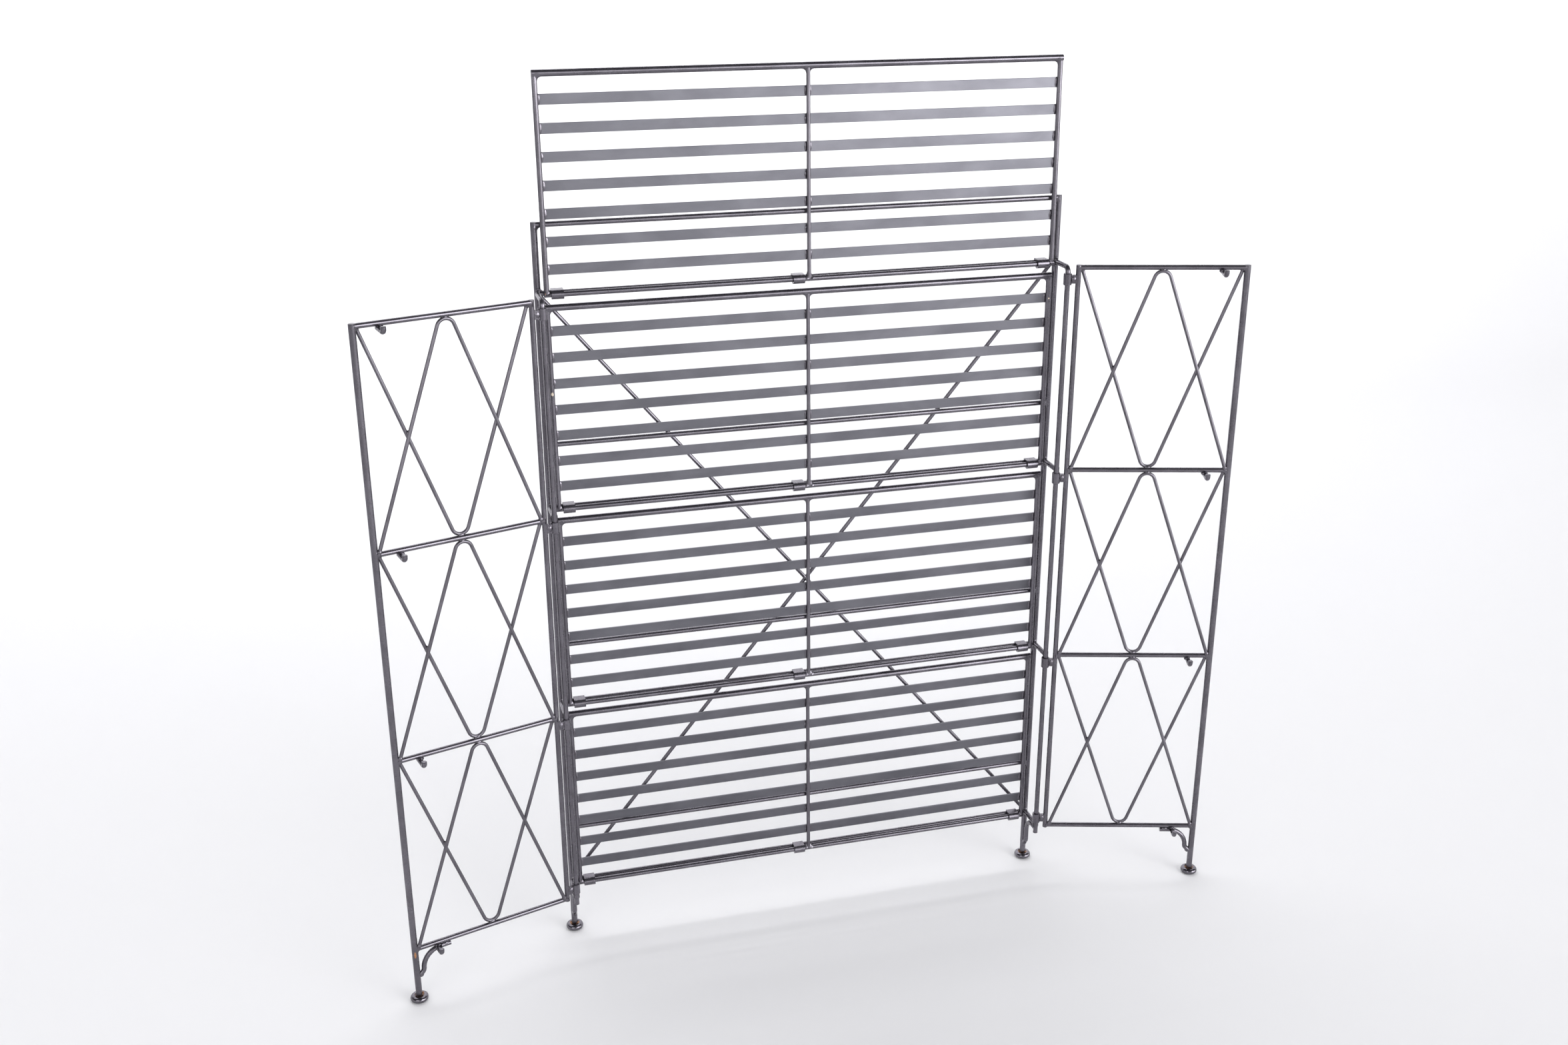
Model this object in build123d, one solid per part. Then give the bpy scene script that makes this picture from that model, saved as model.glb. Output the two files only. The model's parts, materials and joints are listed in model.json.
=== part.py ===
from build123d import *
from math import asin, atan2, cos, degrees, hypot, radians, sin, sqrt, tan
import os

# A folding iron etagere: a welded back frame, two hinged side frames and four hinged slatted shelves.
# Millimetres, +Z up, the shelves face -Y. The origin is on the floor, midway between the four feet.
# The stored pose is partly folded: shelves turned up against the back, side frames swung outwards.

# ---- Overall sizes ----
level_count = 4
first_level = 94.0            # lowest shelf axis above the floor
level_pitch = 331.0           # from one shelf axis to the next
post_spacing = 814.0          # between the axes of the two rear posts
gallery_rise = 100.0          # gallery rail above each shelf axis
side_open_angle = 16.5        # how far a side frame stands forward of the plane of the back

# ---- Bar stock ----
post_diameter = 10.0          # rear posts and front posts
front_rod_diameter = 10.0     # the front edge of a shelf
rod_diameter = 8.0            # rails, inner posts, hinge rods, shelf side and rear rods
brace_diameter = 6.0          # the crossed braces of the back and the centre rods of the shelves
wire_diameter = 5.5           # the pointed arches of the side frames
slat_height = 15.0
slat_thickness = 3.0
slat_edge_radius = 0.5
slat_count = 7
end_chamfer = 0.6             # on the open ends of posts, shelf rods, hooks and collars

# ---- Feet ----
foot_diameter = 29.0
foot_height = 10.0
foot_flat_diameter = 19.0     # what touches the floor
foot_rim_start = 30.0         # where the round rim leaves the underside, from straight down
foot_dish_diameter = 17.0     # the hollow round the post
foot_dish_floor_margin = 1.0  # flat floor of the hollow, round the post
foot_dish_depth = 2.4
foot_socket_depth = 7.0       # how far the post stands in the foot

# ---- Side frame hinges ----
hinge_standoff = 49.0         # hinge rod axis in front of the rear post axis
hinge_to_inner_post = 16.3    # hinge rod axis to the inner post axis
hinge_bend_radius = 8.5       # where the hinge rod turns back to the post
hinge_rod_tail = 16.0         # how far the hinge rod runs on below the lowest arm
collar_diameter = 13.0
collar_length = 18.0
collar_gap = 1.0              # between a collar and the arm that keeps it in place
collar_web_thickness = 6.0
collar_web_height = 13.0
bore_clearance = 0.1          # round every pin, on the radius

# ---- Shelf hinges ----
knuckle_wall = 3.0
knuckle_length = 18.0
knuckle_seam = 0.6            # open slit where the curl comes back to its tang
knuckle_gap = 0.25            # between the curl of a knuckle and the rail that it is welded to
knuckle_end_offset = 15.5     # end knuckles inboard of the side rods
knuckle_centre_offset = 16.5  # middle knuckle beside the centre rod
shelf_rest_gap = 0.3          # between a raised shelf and the gallery rail that it leans on

# ---- Shelves ----
shelf_inset = 12.0            # axes of the side rods inside the axes of the rear posts
raised_shelf_gap = 21.0       # front rod of a raised shelf below the next shelf's hinge axis
front_rod_setback = 3.95      # front rod of a lowered shelf behind the front posts of squared side frames
slat_edge_margin = 35.6       # rear and front rod axes to the nearest slat
slat_back_offset = 5.0        # back of the slats behind the plane of the shelf's rods
rod_end_overhang = 4.0        # front and rear rods past the axes of the side rods

# ---- Side frame details ----
arch_radius = 13.0            # bend at the point of each arch
arch_seat = 0.8               # how far the point of an arch beds into its rail
arch_foot_inset = 2.0         # ends of an arch from the surfaces of the post and rail
hook_setback = 36.4           # hooks behind the front post
hook_diameter = 8.0
hook_bend_radius = 5.0
hook_clearance = 0.3          # between a hook and the shelf rod that it carries
hook_side_clearance = 0.6
hook_slope = 1.7              # fall of the hook from its root to its bend
hook_root = 4.0               # root of the hook outside the rail's axis
hook_tip_drop = 0.5           # tip of the hook below the rail's axis

# ---- Knee brackets ----
knee_diameter = 8.0
knee_foot_height = 44.0       # where a bracket meets its post
knee_rise_height = 52.0       # where its curve begins
knee_stand = 12.0             # the curve's start from the post's axis
knee_arc_radius = 31.0
knee_foot_radius = 8.0
knee_seat = 1.0               # how far inside its post's surface a bracket's centre line ends
knee_reach = 58.0             # front brackets, from the post's axis along the rail
rear_knee_drop = 12.0         # rear brackets meet their post lower down
rear_knee_arc_radius = 24.0

# ---- Crossed braces ----
brace_clearance = 0.2         # between a brace and the rails in front of it

# ---- Worked out from the sizes above ----
post_radius = post_diameter / 2
rod_radius = rod_diameter / 2
brace_radius = brace_diameter / 2
wire_radius = wire_diameter / 2
half_post_spacing = post_spacing / 2
shelf_width = post_spacing - 2 * shelf_inset
half_shelf_width = shelf_width / 2
shelf_depth = level_pitch - raised_shelf_gap
slat_pitch = (shelf_depth - 2 * slat_edge_margin) / (slat_count - 1)
levels = [first_level + level_pitch * n for n in range(level_count)]
bore_radius = rod_radius + bore_clearance
knuckle_radius = bore_radius + knuckle_wall
shelf_axis_offset = knuckle_radius + knuckle_gap + rod_radius
side_reach = shelf_axis_offset + shelf_depth + front_rod_setback - hinge_standoff
side_width = side_reach - hinge_to_inner_post
post_plane = (hinge_standoff + side_reach * sin(radians(side_open_angle))) / 2
hinge_plane = post_plane - hinge_standoff
shelf_axis_plane = post_plane - shelf_axis_offset
shelf_back = max(rod_radius, slat_back_offset)
lean_run = shelf_axis_offset - rod_radius - shelf_back - shelf_rest_gap
shelf_lean = degrees(asin(lean_run / gallery_rise))
brace_plane = post_plane + rod_radius + brace_radius + brace_clearance
hook_drop = rod_radius + hook_clearance + hook_diameter / 2
hook_tip_offset = shelf_inset + rod_radius + hook_side_clearance + hook_diameter / 2


def rod(start, end, diameter):
    """A straight round bar."""
    run = Vector(*end) - Vector(*start)
    bottom = (Align.CENTER, Align.CENTER, Align.MIN)
    return Plane(origin=start, z_dir=run) * Cylinder(diameter / 2, run.length, align=bottom)


def bent_rod(points, radii, diameter):
    """A round bar bent at each inner point."""
    path = FilletPolyline(*points, radius=radii)
    section = Plane(origin=path @ 0, z_dir=path % 0) * Circle(diameter / 2)
    return sweep(section, path=path)


def eased(bar, towards):
    """A bar with a chamfer round its open end, the furthest one in a direction."""
    rims = bar.edges().filter_by(GeomType.CIRCLE).sort_by(towards)
    return chamfer(rims[-1], end_chamfer)


def eased_both(bar):
    return chamfer(bar.edges().filter_by(GeomType.CIRCLE), end_chamfer)


def cut_by(bar, *others):
    """A bar whose ends are coped to fit against the bars that it is welded to."""
    for other in others:
        bar = bar - other
    return bar


def as_list(shape):
    return list(shape) if isinstance(shape, (list, tuple)) else [shape]


def node(name, shapes):
    """Write the separate solids of one named piece, or group of like pieces, to one file."""
    solids = [solid for shape in as_list(shapes) for solid in shape.solids()]
    export_step(Compound(children=solids), os.path.join("parts", name + ".step"))


def mirrored(shapes):
    return [mirror(shape, about=Plane.YZ) for shape in as_list(shapes)]


def both_sides(name, shapes):
    """Write a right-hand piece and its left-hand mirror image."""
    node("right_" + name, shapes)
    node("left_" + name, mirrored(shapes))


# ---- Feet and posts ----

def foot(x, y):
    """A turned bun foot: round rim, flat underside and a dished top round the post's socket."""
    rim = foot_height / 2
    shoulder = foot_diameter / 2 - rim
    flat = foot_flat_diameter / 2
    dish = foot_dish_diameter / 2
    dish_floor = (post_radius + foot_dish_floor_margin, foot_height - foot_dish_depth)
    start = radians(foot_rim_start)
    rim_start = (shoulder + rim * sin(start), rim - rim * cos(start))
    outline = [
        Line((0, 0), (flat, 0)),
        Line((flat, 0), rim_start),
        ThreePointArc(rim_start, (shoulder + rim, rim), (shoulder, foot_height)),
        Line((shoulder, foot_height), (dish, foot_height)),
        Line((dish, foot_height), dish_floor),
        Line(dish_floor, (0, foot_height - foot_dish_depth)),
        Line((0, foot_height - foot_dish_depth), (0, 0)),
    ]
    profile = Plane.XZ * make_face(outline)
    return Pos(x, y, 0) * revolve(profile, axis=Axis.Z)


def post(x, y, top):
    bar = rod((x, y, foot_height - foot_socket_depth), (x, y, top), post_diameter)
    return eased(bar, Axis.Z)


# ---- Back frame ----

def back_rails(posts):
    """The rail behind each shelf, and the gallery rail above each, between the rear posts."""
    rails = []
    galleries = []
    for level in levels:
        ends = [(-half_post_spacing, post_plane), (half_post_spacing, post_plane)]
        rail = rod((*ends[0], level), (*ends[1], level), rod_diameter)
        gallery = rod((*ends[0], level + gallery_rise), (*ends[1], level + gallery_rise), rod_diameter)
        rails.append(cut_by(rail, *posts))
        galleries.append(cut_by(gallery, *posts))
    return rails, galleries


def braces(posts):
    """One long brace corner to corner, and a second in two halves welded to it."""
    low = levels[0]
    high = levels[-1]
    left = (-half_post_spacing, brace_plane)
    right = (half_post_spacing, brace_plane)
    long_brace = cut_by(rod((*left, low), (*right, high), brace_diameter), *posts)
    halves = cut_by(rod((*left, high), (*right, low), brace_diameter), *posts, long_brace)
    return long_brace, halves


def hinge_rod(rear_post, top_rail):
    """It leaves the rear post at the top level, bends down and runs past the lowest arm."""
    x = half_post_spacing
    top = levels[-1]
    points = [(x, post_plane, top), (x, hinge_plane, top), (x, hinge_plane, levels[0] - hinge_rod_tail)]
    return cut_by(bent_rod(points, [hinge_bend_radius], rod_diameter), rear_post, top_rail)


def standoff_arms(rear_post, pin, rails):
    """Short arms from the rear post to the hinge rod at every level but the top one."""
    x = half_post_spacing
    arms = []
    for level, rail in zip(levels[:-1], rails):
        arm = rod((x, post_plane, level), (x, hinge_plane, level), rod_diameter)
        arms.append(cut_by(arm, rear_post, pin, rail))
    return arms


def knee(points, radii, *others):
    return cut_by(bent_rod(points, radii, knee_diameter), *others)


def rear_knee(rear_post, pin, arm):
    """A curved bracket from low on the rear post to the tail of the hinge rod."""
    x = half_post_spacing
    under_arm = levels[0] - rod_radius - knee_diameter / 2
    points = [
        (x, post_plane - post_radius + knee_seat, knee_foot_height - rear_knee_drop),
        (x, post_plane - knee_stand, knee_rise_height - rear_knee_drop),
        (x, post_plane - knee_stand, under_arm),
        (x, hinge_plane, under_arm),
    ]
    return knee(points, [knee_foot_radius, rear_knee_arc_radius], rear_post, pin, arm)


def knuckle_profile():
    """A strap seen from its edge: nearly a full turn round the pin, then back over the rail."""
    corner = (Align.MIN, Align.MAX)
    tang_thickness = knuckle_radius - rod_radius
    tang = Pos(0, knuckle_radius) * Rectangle(shelf_axis_offset, tang_thickness, align=corner)
    seam = Pos(0, rod_radius) * Rectangle(shelf_axis_offset, knuckle_seam, align=corner)
    return Circle(knuckle_radius) - seam + tang - Circle(bore_radius)


def knuckles(level, rail):
    """Straps curled round a shelf's rear rod, each with its tang laid on the back rail and welded."""
    centres = [
        -half_shelf_width + knuckle_end_offset,
        -knuckle_centre_offset,
        half_shelf_width - knuckle_end_offset,
    ]
    strap = extrude(Plane.YZ * knuckle_profile(), amount=knuckle_length / 2, both=True)
    return [cut_by(Pos(x, shelf_axis_plane, level) * strap, rail) for x in centres]


# ---- Shelves ----

def shelf(level):
    """One shelf standing up from its rear rod and leaning back on the gallery rail."""
    ends = half_shelf_width + rod_end_overhang
    rear_rod = eased_both(rod((-ends, 0, 0), (ends, 0, 0), rod_diameter))
    front_rod = eased_both(rod((-ends, 0, shelf_depth), (ends, 0, shelf_depth), front_rod_diameter))
    side_rods = []
    for x in (-half_shelf_width, half_shelf_width):
        side_rods.append(cut_by(rod((x, 0, 0), (x, 0, shelf_depth), rod_diameter), rear_rod, front_rod))
    slat_plane = slat_back_offset - slat_thickness / 2
    centre_plane = slat_back_offset - slat_thickness - brace_radius
    centre_rod = rod((0, centre_plane, 0), (0, centre_plane, shelf_depth), brace_diameter)
    centre_rod = cut_by(centre_rod, rear_rod, front_rod)
    slat_length = shelf_width - rod_radius
    section = Plane.YZ * RectangleRounded(slat_thickness, slat_height, slat_edge_radius)
    flat_bar = extrude(section, amount=slat_length / 2, both=True)
    slats = []
    for n in range(slat_count):
        slat = Pos(0, slat_plane, slat_edge_margin + slat_pitch * n) * flat_bar
        slats.append(cut_by(slat, *side_rods))
    place = Pos(0, shelf_axis_plane, level) * Rot(-shelf_lean, 0, 0)
    pieces = {
        "front_rod": [front_rod],
        "side_rods": side_rods,
        "rear_rod": [rear_rod],
        "centre_rod": [centre_rod],
        "slats": slats,
    }
    return {name: [place * piece for piece in group] for name, group in pieces.items()}


# ---- Side frames, drawn in the plane of the frame with the hinge axis at X = 0 ----

def arch(low, high, plane):
    """A wire from one corner of a bay up to a rounded point at the middle of the rail and down again.

    low is the rail level at its feet and high the rail level at its point, which may be the lower one.
    """
    up = 1 if high > low else -1
    middle = hinge_to_inner_post + side_width / 2
    half_span = side_width / 2 - post_radius - arch_foot_inset
    foot_level = low + up * (rod_radius + arch_foot_inset)
    reach = rod_radius + wire_radius - arch_seat
    crown = high - up * sqrt(reach ** 2 - plane ** 2)
    rise = abs(crown - foot_level) - arch_radius
    leg_angle = atan2(half_span, rise) - asin(arch_radius / hypot(half_span, rise))
    corner = foot_level + up * half_span / tan(leg_angle)
    run_on = arch_foot_inset / tan(leg_angle)
    points = [
        (middle - half_span - arch_foot_inset, plane, foot_level - up * run_on),
        (middle, plane, corner),
        (middle + half_span + arch_foot_inset, plane, foot_level - up * run_on),
    ]
    return bent_rod(points, [arch_radius], wire_diameter)


def hook(level):
    """A short rod under the rail, run inwards beneath the shelf's side rod and turned up at the tip."""
    x = side_reach - hook_setback
    fall = hook_slope * (hook_tip_offset - shelf_inset) / (hook_tip_offset + hook_root)
    points = [
        (x, hook_root, level - hook_drop - fall + hook_slope),
        (x, -hook_tip_offset, level - hook_drop - fall),
        (x, -hook_tip_offset, level - hook_tip_drop),
    ]
    return eased(bent_rod(points, [hook_bend_radius], hook_diameter), Axis.Z)


def collar(bottom, inner_post):
    """A tube round the hinge rod with a web to the inner post."""
    middle = bottom + collar_length / 2
    tube = eased_both(Cylinder(collar_diameter / 2, collar_length))
    web = Box(hinge_to_inner_post, collar_web_thickness, collar_web_height)
    web = Pos(hinge_to_inner_post / 2, 0, 0) * web
    bore = Cylinder(bore_radius, 2 * collar_length)
    return cut_by(Pos(0, 0, middle) * (tube + web - bore), inner_post)


def collar_bottoms():
    """The lowest collar stands on its arm, and the others hang below theirs."""
    lowest = levels[0] + rod_radius + collar_gap
    hung = [level - rod_radius - collar_gap - collar_length for level in levels[1:-1]]
    top = levels[-1] - hinge_bend_radius - collar_gap - collar_length
    return [lowest, *hung, top]


def side_frame():
    """The right-hand side frame in its own plane."""
    inner = hinge_to_inner_post
    top = levels[-1] + rod_radius
    front_post = post(side_reach, 0, top)
    inner_post = rod((inner, 0, levels[0] - rod_radius), (inner, 0, top), rod_diameter)
    rails = []
    for level in levels:
        rail = rod((inner, 0, level), (side_reach, 0, level), rod_diameter)
        rails.append(cut_by(rail, inner_post, front_post))
    frame = [front_post, inner_post, *rails]
    arches = [cut_by(arch(a, b, -wire_radius), *frame) for a, b in zip(levels, levels[1:])]
    vees = [cut_by(arch(b, a, wire_radius), *frame) for a, b in zip(levels, levels[1:])]
    under_rail = levels[0] - rod_radius - knee_diameter / 2
    points = [
        (side_reach - post_radius + knee_seat, 0, knee_foot_height),
        (side_reach - knee_stand, 0, knee_rise_height),
        (side_reach - knee_stand, 0, under_rail),
        (side_reach - knee_reach, 0, under_rail),
    ]
    bracket = knee(points, [knee_foot_radius, knee_arc_radius], front_post, rails[0])
    hooks = [cut_by(hook(level), *rails, bracket) for level in levels]
    collars = [cut_by(collar(bottom, inner_post), *rails) for bottom in collar_bottoms()]
    return {
        "front_post": [front_post],
        "front_foot": [cut_by(foot(side_reach, 0), front_post)],
        "inner_post": [inner_post],
        "side_rails": rails,
        "arch_wires": arches,
        "vee_wires": vees,
        "knee_bracket": [bracket],
        "shelf_hooks": hooks,
        "hinge_collars": collars,
    }


# ---- The whole ----

def build_back_frame():
    top = levels[-1] + gallery_rise + rod_radius
    right_post = post(half_post_spacing, post_plane, top)
    left_post = mirrored(right_post)[0]
    posts = [left_post, right_post]
    both_sides("rear_post", right_post)
    both_sides("rear_foot", cut_by(foot(half_post_spacing, post_plane), right_post))
    rails, galleries = back_rails(posts)
    for n, rail in enumerate(rails, 1):
        node(f"back_rail_{n}", rail)
        node(f"shelf_knuckles_{n}", knuckles(levels[n - 1], rail))
    node("gallery_top_rail", galleries[-1])
    node("gallery_lower_rails", galleries[:-1])
    long_brace, half_braces = braces(posts)
    node("long_cross_brace", long_brace)
    node("half_cross_braces", half_braces)
    pin = hinge_rod(right_post, rails[-1])
    arms = standoff_arms(right_post, pin, rails)
    both_sides("hinge_rod", pin)
    both_sides("standoff_arms", arms)
    both_sides("rear_knee_bracket", rear_knee(right_post, pin, arms[0]))


def build_side_frames():
    place = Pos(half_post_spacing, hinge_plane, 0) * Rot(0, 0, -side_open_angle)
    for name, group in side_frame().items():
        both_sides(name, [place * piece for piece in group])


def build_shelves():
    for n, level in enumerate(levels, 1):
        for name, group in shelf(level).items():
            node(f"shelf_{n}_{name}", group)


os.makedirs("parts", exist_ok=True)
build_back_frame()
build_side_frames()
build_shelves()
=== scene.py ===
"""A folding iron etagere: brazed joints, turned feet and a dark rubbed finish round its fixed frame."""

import json
import math

import bpy
import numpy as np
from bpy.props import FloatProperty, FloatVectorProperty, IntProperty, PointerProperty
from mathutils import Matrix, Vector

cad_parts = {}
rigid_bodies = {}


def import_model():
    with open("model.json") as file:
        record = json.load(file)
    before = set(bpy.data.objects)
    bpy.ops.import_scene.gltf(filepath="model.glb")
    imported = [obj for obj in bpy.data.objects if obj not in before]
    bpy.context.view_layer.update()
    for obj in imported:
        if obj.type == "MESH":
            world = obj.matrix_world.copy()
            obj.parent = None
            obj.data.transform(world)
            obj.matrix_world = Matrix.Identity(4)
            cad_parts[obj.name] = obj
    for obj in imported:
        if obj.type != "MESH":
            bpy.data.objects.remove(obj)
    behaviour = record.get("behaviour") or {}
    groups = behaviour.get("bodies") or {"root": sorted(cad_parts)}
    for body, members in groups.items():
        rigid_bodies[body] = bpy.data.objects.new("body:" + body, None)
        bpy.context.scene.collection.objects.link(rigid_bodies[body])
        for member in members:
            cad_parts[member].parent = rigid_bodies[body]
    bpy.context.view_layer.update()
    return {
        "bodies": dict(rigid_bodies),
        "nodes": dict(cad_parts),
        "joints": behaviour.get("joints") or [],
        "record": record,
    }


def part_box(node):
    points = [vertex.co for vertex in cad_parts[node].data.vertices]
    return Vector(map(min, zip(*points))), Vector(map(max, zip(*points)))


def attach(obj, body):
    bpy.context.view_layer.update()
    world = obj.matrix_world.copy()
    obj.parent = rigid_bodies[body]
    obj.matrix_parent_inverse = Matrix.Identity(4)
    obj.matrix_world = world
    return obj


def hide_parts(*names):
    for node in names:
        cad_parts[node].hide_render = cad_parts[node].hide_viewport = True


bl_info = {
    "name": "Folding iron etagere",
    "version": (1, 0, 0),
    "blender": (4, 5, 0),
    "location": "View3D > Sidebar > Etagere",
    "description": "Brazed joints, turned feet and a rubbed iron finish for a folding etagere",
    "category": "Add Mesh",
}

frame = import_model()

SIDES = ("left", "right")
UP = np.array([0.0, 0.0, 1.0])
TO_THE_RIGHT = np.array([1.0, 0.0, 0.0])
TO_THE_BACK = np.array([0.0, 1.0, 0.0])
TURN = 2 * math.pi

# The studio, in metres: the sweep's half width, its reach in front and its wall's height, then where each
# light stands, what it points at and how large it is.
SWEEP_HALF_WIDTH, SWEEP_FRONT, SWEEP_HEIGHT = 14.0, 14.0, 6.0
KEY_X, KEY_Y, KEY_Z, KEY_TARGET, KEY_SIZE = 2.6, -3.6, 2.3, (0, 0, 0.7), (2.2, 2.2)
WALL_LIGHT, WALL_TARGET, WALL_LIGHT_SIZE = (0, 2.2, 4.4), (0, 4.3, 1.5), (6.0, 1.0)
OVERHEAD_SPREAD = math.radians(100)
# How far above the horizon the white room starts to darken and is dark, as shares of the way from the
# bottom to the top, its ceiling, and how far round to the front right its bright part starts.
ROOM_WHITE, ROOM_DARK, CEILING, FRONT_EDGE = 0.56, 0.74, (0.16, 0.16, 0.175, 1), 0.69


# ---- Sizes and colours ----

def a_length(name, description, default, low=0.0):
    return FloatProperty(name=name, description=description, default=default, min=low, unit="LENGTH")


def a_share(name, description, default, low, high):
    return FloatProperty(name=name, description=description, default=default, min=low, max=high,
                         subtype="FACTOR")


def an_angle(name, description, degrees):
    return FloatProperty(name=name, description=description, default=math.radians(degrees), subtype="ANGLE")


def a_colour(name, description, default):
    return FloatVectorProperty(name=name, description=description, default=default, size=3, min=0, max=1,
                               subtype="COLOR")


def a_power(name, description, default):
    return FloatProperty(name=name, description=description, default=default, min=0)


class JointSizes(bpy.types.PropertyGroup):
    """The braze at the joints."""

    corner_reach: a_length("Corner reach", "How far the braze runs out in an inside corner", 0.0062, 0.001)
    light_reach: a_length("Light reach", "The same at the smaller joints", 0.0042, 0.001)
    side_reach: a_length("Side reach", "How far the braze runs out beside a bar", 0.0008, 0.0002)
    unevenness: a_share("Unevenness", "Swell and sink of the braze, as a share of its size", 0.13, 0.0, 0.5)


class WireShape(bpy.types.PropertyGroup):
    """How the frame's pointed wires run, for the braze on them."""

    bend_radius: a_length("Bend radius", "Of the bend at the point of each wire", 0.013, 0.002)
    foot_inset: a_length("Foot inset", "Ends of a wire from the surfaces of the post and rail", 0.002)


class FootSizes(bpy.types.PropertyGroup):
    """The turned bun feet."""

    flat_share: a_share("Flat width", "Width of the flat underside, as a share of the foot's", 0.66, 0.3, 0.9)
    dish_share: a_share("Dish width", "Width of the hollow on top, as a share of the foot's", 0.62, 0.4, 0.9)
    dish_depth: a_length("Dish depth", "Depth of the hollow round the post", 0.0026)
    dents: a_length("Dents", "Height of the hammer marks", 0.00035)


class IronFinish(bpy.types.PropertyGroup):
    """The rubbed dark finish of the iron."""

    dark: a_colour("Dark", "The finish where it is thickest", (0.132, 0.124, 0.141))
    pale: a_colour("Pale", "The finish where it is rubbed thin", (0.188, 0.178, 0.202))
    slat_dark: a_colour("Slat dark", "Stains on the slats", (0.120, 0.119, 0.135))
    slat_pale: a_colour("Slat pale", "The slats between the stains", (0.160, 0.159, 0.179))
    rust: a_colour("Rust", "Thin rust in the hollows", (0.10, 0.052, 0.032))
    bronze: a_colour("Bronze", "Bare braze where the finish is gone", (0.40, 0.20, 0.10))
    chalk: a_colour("Chalk", "A chip where old primer shows", (0.72, 0.62, 0.50))
    roughness: a_share("Roughness", "Of the finish where it is thickest", 0.27, 0.05, 1)


class StudioSettings(bpy.types.PropertyGroup):
    """Camera, sweep and lights."""

    camera_place: FloatVectorProperty(
        name="Camera place", description="Where the camera stands",
        default=(-0.672, -2.263, 1.610), size=3, unit="LENGTH", subtype="TRANSLATION")
    heading: an_angle("Heading", "Camera's turn to the right of straight at the back", 15.25)
    tilt: an_angle("Tilt", "Camera's tilt above the horizon", -20.82)
    roll: an_angle("Roll", "Camera's roll", -0.26)
    lens: FloatProperty(
        name="Lens", description="Focal length for a sensor 36 mm wide", default=37.16, min=5)
    sweep_distance: a_length("Sweep distance", "From the object to the wall of the sweep", 4.3, 0.5)
    sweep_bend: a_length("Sweep bend", "Radius between the floor and the wall", 1.8, 0.1)
    floor_shade: a_colour("Floor", "The pale floor", (0.77, 0.77, 0.782))
    key_power: a_power("Key light", "Mean of the two large front lights, in watts", 48.0)
    key_balance: FloatProperty(
        name="Key balance", description="How much stronger the right one is than the mean, as a share",
        default=0.2, min=-1, max=1)
    wall_power: a_power("Wall light", "The light on the sweep's wall, in watts", 120.0)
    overhead_strength: a_power("Overhead light", "The wide light that evens out the floor", 0.9)
    sky_strength: a_power("Room light", "Brightness of the white room", 1.1)
    front_gain: a_power("Front gain", "How much brighter the room is in front, towards the right", 5.2)


class EtagereSettings(bpy.types.PropertyGroup):
    """Everything that can be set."""

    seed: IntProperty(name="Seed", description="Start of the random shapes", default=7, min=0)
    joints: PointerProperty(type=JointSizes)
    wires: PointerProperty(type=WireShape)
    feet: PointerProperty(type=FootSizes)
    finish: PointerProperty(type=IronFinish)
    studio: PointerProperty(type=StudioSettings)


def settings():
    return bpy.context.scene.etagere


# ---- Places and sizes that the frame gives ----

def corners(node):
    """A node's lowest and highest corners."""
    low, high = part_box(node)
    return np.array(low), np.array(high)


def middle(node):
    """The middle of a node's box."""
    low, high = corners(node)
    return (low + high) / 2


def half_width(node, axis):
    """Half of a node's size along one axis, which is a bar's radius where it lies across that axis."""
    low, high = corners(node)
    return (high - low)[axis] / 2


def places_along(node, direction):
    """The node's vertices measured along a direction."""
    mesh = frame["nodes"][node].data
    flat = np.empty(len(mesh.vertices) * 3, np.float32)
    mesh.vertices.foreach_get("co", flat)
    return flat.reshape(-1, 3).astype(float) @ direction


def members(node, direction):
    """Middles of the separate members of a node along a direction, split at its widest gaps."""
    places = np.sort(places_along(node, direction))
    steps = np.diff(places)
    cuts = np.flatnonzero(steps > 0.8 * steps.max())
    starts = np.concatenate([[0], cuts + 1])
    ends = np.concatenate([cuts, [len(places) - 1]])
    return (places[starts] + places[ends]) / 2


def joint_place(name):
    """Where a joint's axis is."""
    return np.array(next(j["pos_m"] for j in frame["joints"] if j["name"] == name))


SHELVES = sorted(b for b in frame["bodies"] if b.startswith("shelf_"))
LEVELS = [joint_place(f"{shelf}_fold")[2] for shelf in SHELVES]
POST = half_width("right_rear_post", 0)
ROD = half_width("back_rail_1", 2)
FRONT_ROD = half_width("shelf_1_front_rod", 2)
CENTRE_ROD = half_width("shelf_1_centre_rod", 0)
BACK = middle("right_rear_post")[1]
POST_X = middle("right_rear_post")[0]
HINGE_Y = joint_place("right_side_swing")[1]
GALLERY_RISE = middle("gallery_top_rail")[2] - LEVELS[-1]


class SideFrame:
    """One side frame's own directions: along it from the hinge, towards its back, and up."""

    def __init__(self, side):
        self.hinge = joint_place(f"{side}_side_swing")
        reach = middle(f"{side}_front_post") - self.hinge
        reach[2] = 0
        self.reach = np.linalg.norm(reach)
        self.along = reach / self.reach
        self.back = np.cross(UP, self.along) * np.sign(self.along[0])
        inner = middle(f"{side}_inner_post") - self.hinge
        self.inner = inner @ self.along
        wire = places_along(f"{side}_arch_wires", self.back)
        self.wire = np.ptp(wire) / 2

    def at(self, along, back, height):
        return self.hinge + self.along * along + self.back * back + UP * height

    def span(self, node):
        """Nearest and furthest reach of a node from the hinge."""
        places = places_along(node, self.along) - self.hinge @ self.along
        return places.min(), places.max()


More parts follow.
